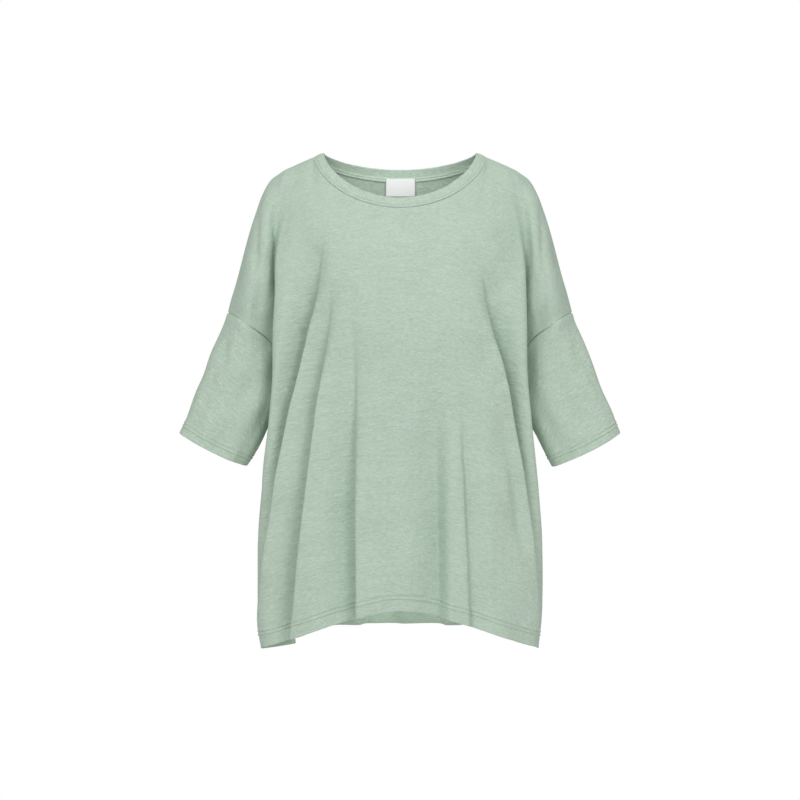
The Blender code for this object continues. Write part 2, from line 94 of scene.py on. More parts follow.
# half the outline of the body, level by level
sections = table(
    "drop sideX frontCentre frontEdgeX frontEdge frontSide backCentre backEdgeX backEdge backSide",
    (0.16, 0.186, 0.106, 0.18, 0.052, 0.036, 0.098, 0.18, 0.062, 0.046),
    (0.2, 0.185, 0.114, 0.181, 0.058, 0.03, 0.1, 0.181, 0.064, 0.04),
    (0.24, 0.181, 0.117, 0.183, 0.061, 0.022, 0.099, 0.183, 0.066, 0.031),
    (0.28, 0.176, 0.117, 0.186, 0.062, 0.012, 0.097, 0.185, 0.066, 0.022),
    (0.31, 0.171, 0.116, 0.188, 0.063, 0.003, 0.095, 0.187, 0.066, 0.014),
    (0.34, 0.166, 0.115, 0.189, 0.063, -0.006, 0.094, 0.188, 0.065, 0.006),
    (0.38, 0.171, 0.113, 0.192, 0.062, -0.006, 0.092, 0.191, 0.063, 0.006),
    (0.42, 0.187, 0.111, 0.196, 0.06, -0.006, 0.092, 0.195, 0.06, 0.006),
    (0.46, 0.2, 0.109, 0.2, 0.056, -0.006, 0.093, 0.199, 0.056, 0.006),
    (0.52, 0.208, 0.108, 0.205, 0.05, -0.006, 0.095, 0.205, 0.051, 0.006),
    (0.6, 0.214, 0.106, 0.21, 0.046, -0.006, 0.098, 0.211, 0.048, 0.006),
    (0.68, 0.214, 0.105, 0.21, 0.044, -0.006, 0.101, 0.212, 0.046, 0.006),
    (0.745, 0.206, 0.104, 0.204, 0.04, -0.006, 0.103, 0.206, 0.042, 0.006),
)

frontPanel = {
    "name": "frontCloth",
    "node": "front_panel",
    "outward": -1.0,
    "cut": {"flat": (0.800, 0.778), "area": 0.480},
    "neck": {"depth": 0.084, "drop": 0.0895, "fall": 1.22},
    "bandEdge": {"depth": 0.079, "drop": 0.0750, "fall": 1.28},
    "hem": table(
        "station drop", (0.0, 0.676), (1.0, 0.696), (2.0, 0.7215), (3.0, 0.7355), (5.0, 0.741),
    ),
    "face": "front",
    # a fold sinks slowly over its flank into a valley, and comes up steeply to the ridge on the
    # other side, at which it is a step towards the left sleeve (1) or the right one (-1)
    "folds": table(
        foldColumns,
        (0.1, -0.112, 0.745, -0.252, 0.32, 1, 0.05, 0.031, 0.012, 0.012),
        (0.13, 0.119, 0.695, 0.242, 0.4, -1, 0.049, 0.029, 0.012, 0.012),
        (0.16, -0.099, 0.745, -0.18, 0.38, 1, 0.032, 0.042, 0.012, 0.011),
        (0.15, -0.073, 0.745, -0.073, 0.7, 1, 0.029, 0.066, 0.016, 0.008),
        (0.4, -0.022, 0.745, -0.026, 0.7, 1, 0.004, 0.034, 0.028, 0.0),
        (0.27, 0.048, 0.745, 0.058, 0.6, 1, 0.026, 0.05, 0.022, 0.002),
        (0.25, 0.088, 0.745, 0.116, 0.6, -1, 0.01, 0.028, 0.014, 0.004),
        (0.32, 0.14, 0.64, 0.2, 0.5, -1, 0.006, 0.026, 0.016, 0.0),
    ),
    # short drag lines, each a shallow trough between two points of the panel
    "drags": table(
        lineColumns,
        (-0.192, 0.08, -0.196, 0.33, -0.004, 0.009), (0.192, 0.08, 0.196, 0.33, -0.004, 0.009),
        (-0.16, 0.13, -0.105, 0.175, 0.0012, 0.009), (-0.17, 0.205, -0.115, 0.255, 0.0012, 0.008),
        (-0.172, 0.25, -0.125, 0.31, 0.0015, 0.008), (-0.16, 0.345, -0.12, 0.42, 0.0018, 0.009),
        (0.165, 0.12, 0.11, 0.17, 0.0012, 0.009), (0.172, 0.19, 0.125, 0.232, 0.0012, 0.008),
        (0.168, 0.24, 0.12, 0.3, 0.0014, 0.008), (0.165, 0.31, 0.135, 0.37, 0.0018, 0.008),
        (-0.06, 0.11, 0.055, 0.13, 0.0012, 0.01), (-0.03, 0.2, 0.07, 0.235, 0.0012, 0.012),
        (0.15, 0.52, 0.205, 0.59, 0.0018, 0.008), (-0.2, 0.6, -0.15, 0.64, 0.0016, 0.008),
    ),
    "armLines": table(
        "side " + lineColumns,
        (-1, 0.212, 0.08, 0.213, 0.195, 0.004, 0.006), (-1, 0.23, 0.14, 0.244, 0.215, 0.0016, 0.008),
        (-1, 0.198, 0.16, 0.215, 0.26, 0.0022, 0.008), (1, 0.211, 0.08, 0.213, 0.225, 0.004, 0.006),
        (1, 0.23, 0.12, 0.242, 0.205, 0.0018, 0.008), (1, 0.197, 0.19, 0.212, 0.28, 0.0022, 0.008),
    ),
    "hemLift": 0.0,
    "puffSeed": 1,
}

backPanel = {
    "name": "backCloth",
    "node": "back_panel",
    "outward": 1.0,
    "cut": {"flat": (0.800, 0.785), "area": 0.430},
    "neck": {"depth": 0.062, "drop": 0.0360, "fall": 1.35},
    "bandEdge": {"depth": 0.056, "drop": 0.0195, "fall": 1.65},
    "hem": table(
        "station drop", (0.0, 0.715), (1.0, 0.717), (2.0, 0.729), (3.0, 0.737), (5.0, 0.741),
    ),
    "face": "back",
    "folds": table(
        foldColumns,
        (0.14, -0.126, 0.745, -0.25, 0.4, 1, 0.024, 0.038, 0.012, 0.007),
        (0.15, 0.13, 0.745, 0.246, 0.45, -1, 0.023, 0.036, 0.012, 0.007),
        (0.18, -0.092, 0.745, -0.142, 0.45, 1, 0.015, 0.034, 0.014, 0.005),
        (0.22, -0.044, 0.745, -0.068, 0.66, 1, 0.018, 0.05, 0.018, 0.002),
        (0.2, 0.004, 0.745, 0.008, 0.7, -1, 0.01, 0.04, 0.026, 0.001),
        (0.25, 0.05, 0.745, 0.078, 0.55, -1, 0.017, 0.044, 0.018, 0.002),
        (0.2, 0.098, 0.745, 0.166, 0.6, -1, 0.006, 0.036, 0.014, 0.002),
    ),
    "drags": table(
        lineColumns,
        (-0.186, 0.11, -0.19, 0.33, -0.005, 0.012), (0.186, 0.11, 0.19, 0.33, -0.005, 0.012),
        (-0.165, 0.135, -0.1, 0.165, 0.002, 0.008), (-0.17, 0.215, -0.118, 0.262, 0.002, 0.007),
        (-0.165, 0.3, -0.12, 0.37, 0.0018, 0.008), (0.162, 0.128, 0.105, 0.168, 0.002, 0.008),
        (0.17, 0.225, 0.12, 0.29, 0.002, 0.008), (0.165, 0.31, 0.13, 0.385, 0.0018, 0.008),
        (-0.055, 0.085, 0.06, 0.1, 0.0012, 0.01),
    ),
    "armLines": table(
        "side " + lineColumns,
        (-1, 0.211, 0.09, 0.216, 0.22, 0.0036, 0.007), (-1, 0.2, 0.2, 0.218, 0.28, 0.002, 0.008),
        (1, 0.213, 0.08, 0.217, 0.205, 0.0036, 0.007), (1, 0.198, 0.18, 0.216, 0.27, 0.0022, 0.008),
    ),
    "hemLift": 0.008,
    "puffSeed": 2,
}
otherPanel = {"frontCloth": backPanel, "backCloth": frontPanel}

# The dropped shoulder's line along the top of the arm, and the broad faces beside it
armTable = table(
    "place topX topDrop faceX faceDrop front back",
    (0.0, 0.203, 0.055, 0.193, 0.039, 0.0, 0.0),
    (0.18, 0.212, 0.076, 0.201, 0.072, 0.036, 0.036),
    (0.4, 0.2275, 0.125, 0.211, 0.14, 0.05, 0.05),
    (0.7, 0.242, 0.18, 0.221, 0.208, 0.054, 0.052),
    (1.0, 0.2586, 0.239, 0.229, 0.256, 0.053, 0.05),
)

hemTurn = {
    "radius": 0.0010,
    "steps": 4,
    "insideRows": 5,
    # the inner layer ends this much below the upper stitches
    "short": 0.001,
}

stitch = {
    "pitch": 0.0030,
    "length": 0.0026,
    "radius": 0.00026,
    "step": 0.0004,
    "stepWidth": 0.002,
    "rowsApart": 0.0056,
    "lookAhead": 0.0005,
    "sides": 5,
    # rings along one stitch: place in its length, size and lift in its radius
    "rings": ((-0.5, 0.35, -0.6), (-0.25, 1.0, 0.4), (0.25, 1.0, 0.4), (0.5, 0.35, -0.6)),
    # rows of the grid beside the stitches, up from the upper ones
    "strips": (
        -0.0078, -0.007, -0.0063, -0.0056, -0.0049, -0.0042, -0.0034, -0.0024, -0.0014, -0.0007,
        0.0, 0.0007, 0.0014, 0.0024, 0.0045, 0.008,
    ),
    # each row stands on a small rib, with the cloth drawn in under it
    "lines": table(
        "below press width",
        (0.0002, -0.0008, 0.001),
        (0.0021, 0.0008, 0.0011),
        (0.0058, -0.0008, 0.001),
        (0.0077, 0.0008, 0.0011),
    ),
}

band = {
    "cut": {"flat": (0.676, 0.040), "area": 0.0255},
    "halfWidth": 0.115,
    "shoulderDrop": 0.0,
    "columns": 260,
    "foldRadius": 0.0010,
    "foldRows": 6,
    "thickness": 0.0009,
    "plump": 0.0005,
    "topstitch": 0.0035,
    "topstitchDip": 0.0010,
    "topstitchWidth": 0.0009,
    # rows from seam to edge, and how far past the seam the inner layer runs and sinks
    "rows": (0, 0.03, 0.07, 0.13, 0.19, 0.24, 0.29, 0.36, 0.45, 0.55, 0.65, 0.75, 0.85, 0.93, 1.0),
    "allowance": ((0.0010, 0.0001), (0.0026, 0.0003)),
    # slight waves of its edge: how many round the neck, height and start
    "waves": ((19, 0.00020, 0.0), (47, 0.00010, 1.0)),
    "pattern": 3.7,
}


def within(values):
    return np.clip(values, 0.0, 1.0)


def smooth(share):
    share = within(share)
    return share * share * (3 - 2 * share)


def bell(away, width):
    return np.exp(-((away / width) ** 2))


def stacked(*parts):
    return np.stack(parts, axis=-1)


def unit(vectors):
    return vectors / np.maximum(np.linalg.norm(vectors, axis=-1, keepdims=True), 1e-12)


def ease(start, startSlope, end, endSlope, share, length=1.0):
    square, cube = share**2, share**3
    fromStart = (2 * cube - 3 * square + 1) * start + (cube - 2 * square + share) * length * startSlope
    return fromStart + (3 * square - 2 * cube) * end + (cube - square) * length * endSlope


def read(rows, column, at, levelStart=False):
    # a named column at any value of the first one, smooth and never past the rows
    steepest = 2.5
    places = np.array([row[0] for row in rows])
    values = np.array([getattr(row, column) for row in rows])
    steps = np.diff(places)
    rises = np.diff(values) / steps
    slopes = np.empty(len(values))
    least = np.minimum(np.abs(rises[:-1]), np.abs(rises[1:]))
    middle = np.where(rises[:-1] * rises[1:] > 0, (rises[:-1] + rises[1:]) / 2, 0.0)
    slopes[1:-1] = np.clip(middle, -steepest * least, steepest * least)
    slopes[0] = 0.0 if levelStart else rises[0]
    slopes[-1] = rises[-1]
    at = np.clip(np.asarray(at, float), places[0], places[-1])
    index = np.clip(np.searchsorted(places, at, side="right") - 1, 0, len(steps) - 1)
    share = (at - places[index]) / steps[index]
    return ease(values[index], slopes[index], values[index + 1], slopes[index + 1], share, steps[index])


def reads(rows, at, columns):
    return [read(rows, column, at) for column in columns.split()]


def through(controls, stations):
    # a smooth curve through the controls, of which the first and last only lend direction
    controls = np.asarray(controls, float)
    gaps = np.maximum(np.linalg.norm(np.diff(controls, axis=0), axis=-1, keepdims=True), 1e-6)
    rises = np.diff(controls, axis=0) / gaps
    slopes = (rises[:-1] * gaps[1:] + rises[1:] * gaps[:-1]) / (gaps[1:] + gaps[:-1])
    inner = controls[1:-1]
    stations = np.asarray(stations, float)
    index = np.clip(np.floor(stations).astype(int), 0, len(inner) - 2)
    share = (stations - index)[:, None]
    pick = np.arange(len(stations))
    return ease(
        inner[index, pick], slopes[index, pick], inner[index + 1, pick], slopes[index + 1, pick],
        share, gaps[index + 1, pick],
    )


def sectionControls(panel, drop):
    columns = "sideX {0}Centre {0}EdgeX {0}Edge {0}Side".format(panel["face"])
    sideX, centre, edgeX, edge, side = reads(sections, drop, columns)
    points = [(0 * centre, centre)]
    for share in cloth["chestStations"]:
        points.append((share * edgeX, edge + (centre - edge) * (1 - share ** cloth["chestRoundness"])))
    points += [(edgeX, edge), ((edgeX + sideX) / 2, (edge + side) / 2), (sideX, side)]
    return [stacked(x, panel["outward"] * depth, -drop) for x, depth in points]


def armControls(panel, crease):
    span = cloth["underarmDrop"] - cloth["creaseTopDrop"]
    place = (-crease[:, 2] - cloth["creaseTopDrop"]) / span
    depth = panel["outward"] * read(armTable, panel["face"], place)
    faceX, faceDrop, topX, topDrop = reads(armTable, place, "faceX faceDrop topX topDrop")
    face = stacked(faceX, depth, -faceDrop)
    inside = crease + (face - crease) * cloth["innerArmShare"]
    inside[:, 1] += panel["outward"] * cloth["innerArmSwell"] * smooth(place * 2)
    inside[:, 2] += cloth["innerArmRaise"] * smooth(place)
    return [inside, face, stacked(topX, 0 * place, -topDrop)]


def levelPoints(panel, drop, station):
    controls = sectionControls(panel, drop)
    before = controls[1] * (-1, 1, 1)
    below = sectionControls(otherPanel[panel["name"]], drop)[4]
    above = armControls(panel, controls[5])[0]
    after = np.where((drop < cloth["underarmDrop"])[:, None], above, below)
    return through([before, *controls, after], station)


def neckLine(panel, share, edge=False):
    line = panel["bandEdge" if edge else "neck"]
    halfWidth = band["halfWidth"] if edge else cloth["neckHalfWidth"]
    high = band["shoulderDrop"] if edge else cloth["neckShoulderDrop"]
    cosine = within(np.cos(share * math.pi / 2))
    drop = high + (line["drop"] - high) * cosine ** line["fall"]
    depth = panel["outward"] * line["depth"] * cosine ** cloth["neckReach"]
    return stacked(halfWidth * np.sin(share * math.pi / 2), depth, -drop)


def topPoints(panel, station):
    points = neckLine(panel, within(station / neckStation))
    along = within((station - neckStation) / (sideStation - neckStation))
    points[:, 0] += (cloth["creaseTopX"] - cloth["neckHalfWidth"]) * along
    points[:, 2] -= (cloth["creaseTopDrop"] - cloth["neckShoulderDrop"]) * along
    return points


def topDirections(panel, station):
    # in line with the band at the neck, straight over the shoulder beside it
    share = within(station / neckStation)
    fromBand = unit(neckLine(panel, share) - neckLine(panel, share, edge=True))
    step = 0.01
    inner = np.clip(share, step, 1.0 - step)
    alongSeam = unit(neckLine(panel, inner - step) - neckLine(panel, inner + step))
    turned = smooth((share - cloth["alongSeamFrom"]) / (1 - cloth["alongSeamFrom"]))[:, None]
    overShoulder = np.array((0.0, panel["outward"], 0.0))
    onShoulder = smooth((station - neckStation + 0.5) / 2)[:, None]
    beside = unit(fromBand * (1 - turned) + alongSeam * turned)
    return unit(beside * (1 - onShoulder) + overShoulder * onShoulder)


def yokePoints(panel, row, station):
    top = topPoints(panel, station)
    full = np.full(len(station), cloth["yokeDrop"])
    bottom = levelPoints(panel, full, station)
    lower = levelPoints(panel, full + 0.002, station)
    length = np.linalg.norm(bottom - top, axis=-1)[:, None] * cloth["shoulderReach"]
    return ease(top, topDirections(panel, station), bottom, unit(lower - bottom), row[:, None], length)


def bodyPoints(panel, row, station):
    # rows: 0 neck and shoulder, 1 yoke, 2 underarm, 3 hem
    yokeDrop, underarmDrop = cloth["yokeDrop"], cloth["underarmDrop"]
    drop = yokeDrop + (underarmDrop - yokeDrop) * within(row - 1)
    hemDrop = read(panel["hem"], "drop", station, levelStart=True)
    drop = drop + (hemDrop - underarmDrop) * within(row - 2)
    points = levelPoints(panel, drop, station)
    inYoke = row < 1
    points[inYoke] = yokePoints(panel, row[inYoke], station[inYoke])
    return points


def armPoints(panel, row, station):
    crease = bodyPoints(panel, row, np.full(len(row), sideStation))
    before = bodyPoints(panel, row, np.full(len(row), sideStation - 1))
    controls = [crease, *armControls(panel, crease)]
    after = controls[2] * (1, -1, 1)
    return through([before, *controls, after], station - sideStation)


def gridOf(make, panel, rows, stations):
    row, station = np.meshgrid(rows, stations, indexing="ij")
    return make(panel, row.ravel(), station.ravel()).reshape(len(rows), len(stations), 3)


def gridNormals(points):
    return unit(np.cross(np.gradient(points, axis=1), np.gradient(points, axis=0)))


def relaxed(points, passes):
    # evens out a grid but for its four edges
    points = points.copy()
    for axis, times in enumerate(passes):
        moved = np.moveaxis(points, axis, 0)
        for _ in range(times):
            moved[1:-1, 1:-1] = (moved[2:, 1:-1] + moved[:-2, 1:-1]) / 4 + moved[1:-1, 1:-1] / 2
    return points


def resampled(points, at, axis):
    # rows or columns at fractional places, on a smooth curve
    moved = np.moveaxis(points, axis, 0)
    last = len(moved) - 1
    at = np.asarray(at, float)
    index = np.clip(np.floor(at).astype(int), 0, last - 1)
    share = (at - index).reshape(-1, *([1] * (moved.ndim - 1)))
    four = [moved[np.clip(index + k, 0, last)] for k in (-1, 0, 1, 2)]
    four[0] = np.where((index == 0).reshape(share.shape), 2 * four[1] - four[2], four[0])
    four[3] = np.where((index == last - 1).reshape(share.shape), 2 * four[2] - four[1], four[3])
    startSlope, endSlope = (four[2] - four[0]) / 2, (four[3] - four[1]) / 2
    return np.moveaxis(ease(four[1], startSlope, four[2], endSlope, share), 0, axis)


def puffs(points, seed):
    # a sum of waves in space
    draw = np.random.default_rng(seed)
    total = 0.0
    for _ in range(cloth["puffWaves"]):
        direction = unit(draw.normal(size=3) * (1.0, 0.6, 0.55))
        length = draw.uniform(*cloth["puffLengths"])
        phase = draw.uniform(0, 2 * math.pi)
        total = total + np.sin(points @ direction * 2 * math.pi / length + phase)
    return cloth["puffHeight"] * total / math.sqrt(cloth["puffWaves"])


# a fold is wider and rounder near its top, by these shares
foldShape = {
    "roundness": 0.0025,
    "topRoundness": 5.0,
    "topSteep": 1.4,
    "topFlank": 0.7,
    "flankCurve": 0.4,
    "leanWidth": 0.010,
    # one that ends above this drop fades out over its last share
    "hemFrom": 0.7,
    "endShare": 0.3,
    "sideClear": 0.020,
    "topRows": 12,
}


def folded(panel, points):
    across, drop = alongColumns(points), -points[:, :, 2]
    across -= across[:, [points.shape[1] // 2]]
    press, slide = 0 * across, 0 * across
    for fold in panel["folds"]:
        share = (drop - fold.topDrop) / (fold.lowDrop - fold.topDrop)
        middle = fold.topAcross + (fold.lowAcross - fold.topAcross) * within(share)
        strength = smooth(share / fold.full)
        early = 1 - strength
        if fold.lowDrop < foldShape["hemFrom"]:
            strength = strength * smooth((1 - share) / foldShape["endShare"])
        away = (across - middle) * fold.ridge
        roundness = foldShape["roundness"] * (1 + foldShape["topRoundness"] * early)
        distance = np.sqrt(away**2 + roundness**2) - roundness
        steep = fold.steep * (1 + foldShape["topSteep"] * early)
        fromFlank = 1 - distance / (fold.flank * (1 + foldShape["topFlank"] * early))
        curve = foldShape["flankCurve"]
        flank = smooth(fromFlank) * curve + within(fromFlank) ** 2 * (1 - curve)
        rise = within(1 - distance / steep) ** 2
        press = press + strength * fold.depth * np.where(away < 0, flank, rise)
        atValley, atRidge = (bell(beside, foldShape["leanWidth"]) for beside in (away, away - fold.steep))
        slide = slide + strength * fold.lean * fold.ridge * (atValley - atRidge)
    for drag in panel["drags"]:
        press = press + trough(across, drop, drag)
    press = press + puffs(points, panel["puffSeed"])
    toSide = np.minimum(across - across[:, :1], across[:, -1:] - across)
    toTop = np.arange(len(points))[:, None] / foldShape["topRows"]
    clear = smooth(toSide / foldShape["sideClear"]) * smooth(toTop)
    tangents = unit(np.gradient(points, axis=1))
    moved = points - gridNormals(points) * panel["outward"] * (press * clear)[:, :, None]
    return moved + tangents * (slide * clear)[:, :, None]


def alongRows(points):
    steps = np.linalg.norm(np.diff(points, axis=0), axis=-1)
    return np.concatenate([np.zeros((1, points.shape[1])), np.cumsum(steps, axis=0)])


def alongColumns(points):
    return alongRows(points.transpose(1, 0, 2)).T


def placesWith(last, marks):
    # whole places from 0 to last, giving way to the marks among them
    kept = [place for place in range(last + 1) if min(abs(place - mark) for mark in marks) > 0.35]
    return np.array(sorted(kept + list(marks)))


def trough(beside, downward, line):
    # a trough along a line of the flat cloth, fading at both ends
    start = np.array((line.startA, line.startB))
    run = np.array((line.endA, line.endB)) - start
    length = np.linalg.norm(run)
    along = ((beside - start[0]) * run[0] + (downward - start[1]) * run[1]) / length**2
    away = ((beside - start[0]) * run[1] - (downward - start[1]) * run[0]) / length
    reach = smooth((along + 0.25) / 0.6) * smooth((1.25 - along) / 0.6)
    return line.depth * reach * bell(away, line.width)


def sunk(points, normals, seams, rowsFrom=0):
    # seams sink into the cloth and keep half a gap from the next piece
    points = points.copy()
    sink = np.zeros(points.shape[:2])
    down, across = alongRows(points), alongColumns(points)
    distances = {"top": down, "bottom": down[-1:] - down, "left": across, "right": across[:, -1:] - across}
    for edge, (dip, halfGap) in seams.items():
        near = dip * within(1 - distances[edge] / cloth["seamReach"]) ** 2
        if edge in ("left", "right"):
            near[:rowsFrom] = 0
        sink = np.maximum(sink, near)
        line, beside = {
            "top": (np.s_[0, :], np.s_[1, :]), "left": (np.s_[rowsFrom:, 0], np.s_[rowsFrom:, 1]),
            "bottom": (np.s_[-1, :], np.s_[-2, :]), "right": (np.s_[rowsFrom:, -1], np.s_[rowsFrom:, -2]),
        }[edge]
        points[line] += unit(points[beside] - points[line]) * halfGap
    return points - normals * sink[:, :, None]


def rolled(points, normals, radius, steps):
    # rows that roll the last one over to the inside, and their angles
    onward = unit(points[-1] - points[-2])
    angles = np.linspace(0, math.pi, steps + 1)[1:]
    return [
        points[-1] - normals[-1] * radius * (1 - math.cos(angle)) + onward * radius * math.sin(angle)
        for angle in angles
    ], angles


def turnedHem(points, coords, normals, depth):
    radius, depth = hemTurn["radius"], depth - hemTurn["short"]
    turned, angles = rolled(points, normals, radius, hemTurn["steps"])
    turnedCoords = [coords[-1] + (0, radius * angle, 0) for angle in angles]
    up = alongRows(points[::-1]).mean(axis=1)
    for share in np.linspace(0, 1, hemTurn["insideRows"] + 1)[1:]:
        place = len(points) - 1 - np.interp(share * depth, up, np.arange(len(points)))
        row = resampled(points, [place], 0)[0] - resampled(normals, [place], 0)[0] * radius * 2
        turned.append(row)
        turnedCoords.append(coords[-1] + (0, radius * math.pi + share * depth, 0))
    return np.concatenate([points, turned]), np.concatenate([coords, turnedCoords])


def grooved(points, normals, depth):
    # twin needles pull in two rows, and the hem below is double
    up = alongRows(points[::-1])[::-1]
    press = -stitch["step"] * smooth((depth - up) / stitch["stepWidth"] + 0.5)
    for line in stitch["lines"]:
        press = press + line.press * bell(up - depth + line.below, line.width)
    return points - normals * press[:, :, None]


def pointsAt(places, steps, values):
    return stacked(*(np.interp(places, steps, values[:, axis]) for axis in range(3)))


def lineAt(values, points, distance):
    # what a grid holds along a line at a distance above its last row
    up = alongRows(points[::-1])
    return np.array([
        pointsAt(distance, up[:, column], values[::-1, column]) for column in range(points.shape[1])
    ])


def stitchMesh(line, normals):
    # one arched thread after another along a line
    steps = np.concatenate([[0.0], np.cumsum(np.linalg.norm(np.diff(line, axis=0), axis=1))])
    count = int(steps[-1] / stitch["pitch"])
    places = (np.arange(count) + 0.5) * steps[-1] / count
    centre, up = pointsAt(places, steps, line), unit(pointsAt(places, steps, normals))
    along = unit(pointsAt(places + stitch["lookAhead"], steps, line) - centre)
    beside = unit(np.cross(along, up))
    sides = np.arange(stitch["sides"]) * 2 * math.pi / stitch["sides"]
    rings = []
    for reach, size, lift in stitch["rings"]:
        middle = centre + along * stitch["length"] * reach + up * stitch["radius"] * lift
        ring = [
            middle + stitch["radius"] * size * (beside * math.cos(side) + up * math.sin(side))
            for side in sides
        ]
        rings.append(np.stack(ring, axis=1))
    points = np.stack(rings, axis=1)
    index = indexOf(points)
    return points.reshape(-1, 3), gridFaces(np.concatenate([index, index[:, :, :1]], axis=2))


def addStitches(name, lines, material):
    grids, faces, count = [], [], 0
    for line, normals in lines:
        found, around = stitchMesh(line, normals)
        grids.append(found)
        faces.append(around + count)
        count += len(found)
    return addPiece(name, grids, np.concatenate(faces), [], material)


def gridFaces(index, flipped=False):
    corners = [index[..., :-1, :-1], index[..., 1:, :-1], index[..., 1:, 1:], index[..., :-1, 1:]]
    return stacked(*(corner.ravel() for corner in (corners[::-1] if flipped else corners)))


def indexOf(points):
    return np.arange(points[..., 0].size).reshape(points.shape[:-1])


def listed(grids):
    return np.concatenate([grid.reshape(-1, 3) for grid in grids])


def closedNormals(points):
    # the last column of a tube lies on its first
    wide = np.concatenate([points[:, -2:-1], points, points[:, 1:2]], axis=1)
    return gridNormals(wide)[:, 1:-1]


def linked(name, data):
    made = bpy.data.objects.new(name, data)
    bpy.context.scene.collection.objects.link(made)
    return made


def addPiece(name, grids, faces, coords, material, node=None, thickness=None):
    mesh = bpy.data.meshes.new(name)
    mesh.from_pydata(listed(grids).tolist(), [], faces.tolist())
    mesh.shade_smooth()
    if coords:
        mesh.attributes.new("clothCoord", "FLOAT_VECTOR", "POINT")
        mesh.attributes["clothCoord"].data.foreach_set("vector", listed(coords).astype(np.float32).ravel())
    mesh.materials.append(material)
    piece = linked(name, mesh)
    if thickness:
        wall = piece.modifiers.new("Wall", "SOLIDIFY")
        wall.thickness = thickness
        wall.offset = -1.0
        wall.use_quality_normals = True
    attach(piece, "root")
    if node:
        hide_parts(node)
    return piece


class Wire:
    # a value inside a material, which takes the usual signs of arithmetic

    def __init__(self, tree, socket=None):
        self.tree, self.socket = tree, socket

    def feed(self, socket, value):
        if isinstance(value, Wire):
            self.tree.links.new(value.socket, socket)
        else:
            socket.default_value = value

    def make(self, kind, settings=None, inputs=None, output=0):
        node = self.tree.nodes.new("ShaderNode" + kind)
        for name, value in (settings or {}).items():
            setattr(node, name, value)
        for name, value in (inputs or {}).items():
            self.feed(node.inputs[name], value)
        return Wire(self.tree, node.outputs[output])

    def combine(self, operation, first, second):
        sockets = [value.socket for value in (first, second) if isinstance(value, Wire)]
        vectors = any(socket.type in ("VECTOR", "RGBA") for socket in sockets)
        kind = "VectorMath" if vectors else "Math"
        if vectors:
            first, second = (
                (value,) * 3 if isinstance(value, (int, float)) else value for value in (first, second)
            )
        return self.make(kind, {"operation": operation}, {0: first, 1: second})

    def __add__(self, other):
        return self.combine("ADD", self, other)

    def __radd__(self, other):
        return self.combine("ADD", other, self)

    def __sub__(self, other):
        return self.combine("SUBTRACT", self, other)

    def __rsub__(self, other):
        return self.combine("SUBTRACT", other, self)

    def __mul__(self, other):
        return self.combine("MULTIPLY", self, other)

    def __rmul__(self, other):
        return self.combine("MULTIPLY", other, self)

    def maths(self, operation, *others):
        return self.make("Math", {"operation": operation}, dict(enumerate((self, *others))))

    def wave(self, length):
        return (self * (2 * math.pi / length)).maths("SINE")

    def between(self, low, high):
        return self.make("MapRange", {"interpolation_type": "SMOOTHSTEP"}, {
            "Value": self, "From Min": low, "From Max": high,
        })

    def noise(self, scale, detail=1.0, roughness=0.5, output=0):
        return self.make("TexNoise", {}, {
            "Vector": self * scale, "Scale": 1.0, "Detail": detail, "Roughness": roughness,
        }, output=output)

    def mix(self, low, high):
        return self.make("Mix", {"data_type": "RGBA"}, {0: self, 6: low, 7: high}, output=2)

    def bump(self, strength):
        return self.make("Bump", {}, {"Strength": strength, "Distance": 1.0, "Height": self})

    def part(self, axis):
        return self.make("SeparateXYZ", {}, {0: self}, output=axis)


def materialOf(name, values):
    made = bpy.data.materials.new(name)
    made.use_nodes = True
    shader = made.node_tree.nodes["Principled BSDF"]
    for socket, value in values.items():
        shader.inputs[socket].default_value = value
    return made, shader, Wire(made.node_tree)


def clothCoordOf(start):
    return start.make("Attribute", {"attribute_name": "clothCoord"}, output=1)


def knit(name, look):
    made, shader, start = materialOf(name, {
        "Roughness": look["roughness"],
        "Specular IOR Level": look["gloss"],
        "Sheen Weight": look["sheen"],
        "Sheen Roughness": 0.5,
        "Sheen Tint": (*look["light"], 1.0),
    })
    straight = clothCoordOf(start)
    wander = straight.noise((45.0, 60.0, 1.0), 2.0, output=1)
    place = straight + (wander - 0.5) * look["wander"]
    streaks = [place.noise(*streak[:3]) * streak[3] for streak in look["streaks"]]
    tone = sum(streaks[1:], streaks[0])
    mask = tone.between(0.5 - look["streakSpread"], 0.5 + look["streakSpread"])
    heather = mask.mix((*look["dark"], 1.0), (*look["light"], 1.0))
    slubs = place.noise((110.0, 560.0, 2.0)).between(0.64, 0.74) * look["slubShare"]
    start.feed(shader.inputs["Base Color"], slubs.mix(heather, (*look["slub"], 1.0)))

    wale, course = place.part(0).wave(look["wale"]), place.part(1).wave(look["course"])
    stitches = (wale * 0.6 + course * 0.4) * look["stitchHeight"]
    crinkle = place.noise((60.0, 95.0, 1.0), 4.0, 0.6) * look["crinkleHeight"]
    height = stitches + crinkle + mask * look["slubHeight"]
    start.feed(shader.inputs["Normal"], height.bump(look["bump"]))
    return made


